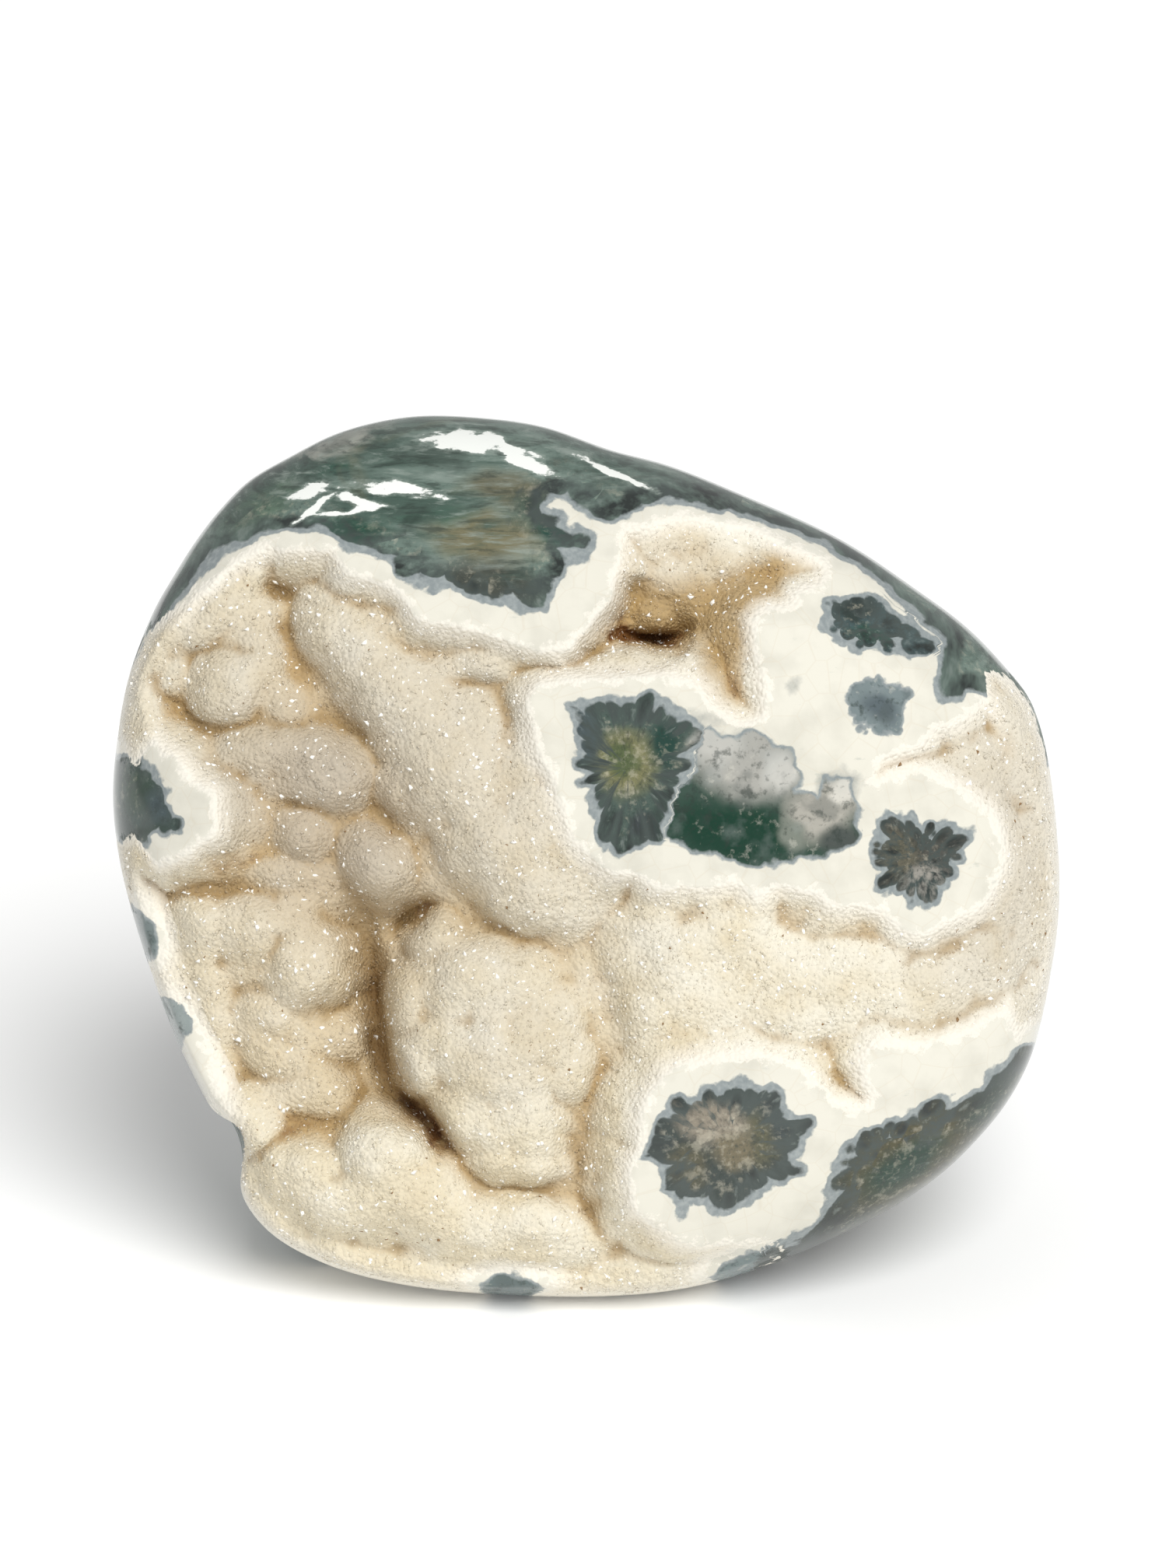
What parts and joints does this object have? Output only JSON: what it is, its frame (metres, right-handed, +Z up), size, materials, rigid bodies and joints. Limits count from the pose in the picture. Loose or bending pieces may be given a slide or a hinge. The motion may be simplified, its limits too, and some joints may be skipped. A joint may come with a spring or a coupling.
{
  "type": "ocean jasper freeform",
  "caption": "Polished standing freeform of ocean jasper with a rough, crystal coated botryoidal face and polished islands; a decorative stone that stands on a ground flat.",
  "frame": {"origin": "middle of the stone's width and depth, on the plane of its ground flat", "axes": "+X to the right across the lumpy face, +Y to the back of the stone, +Z up; the lumpy face looks towards -Y and leans back 18 degrees"},
  "size_m": [0.105, 0.0686, 0.0919],
  "materials": {
    "stone": "polished green-grey outside, rough cream quartz druze on the face"
  },
  "bodies": {
    "root": {"stone": "stone"}
  },
  "joints": []
}
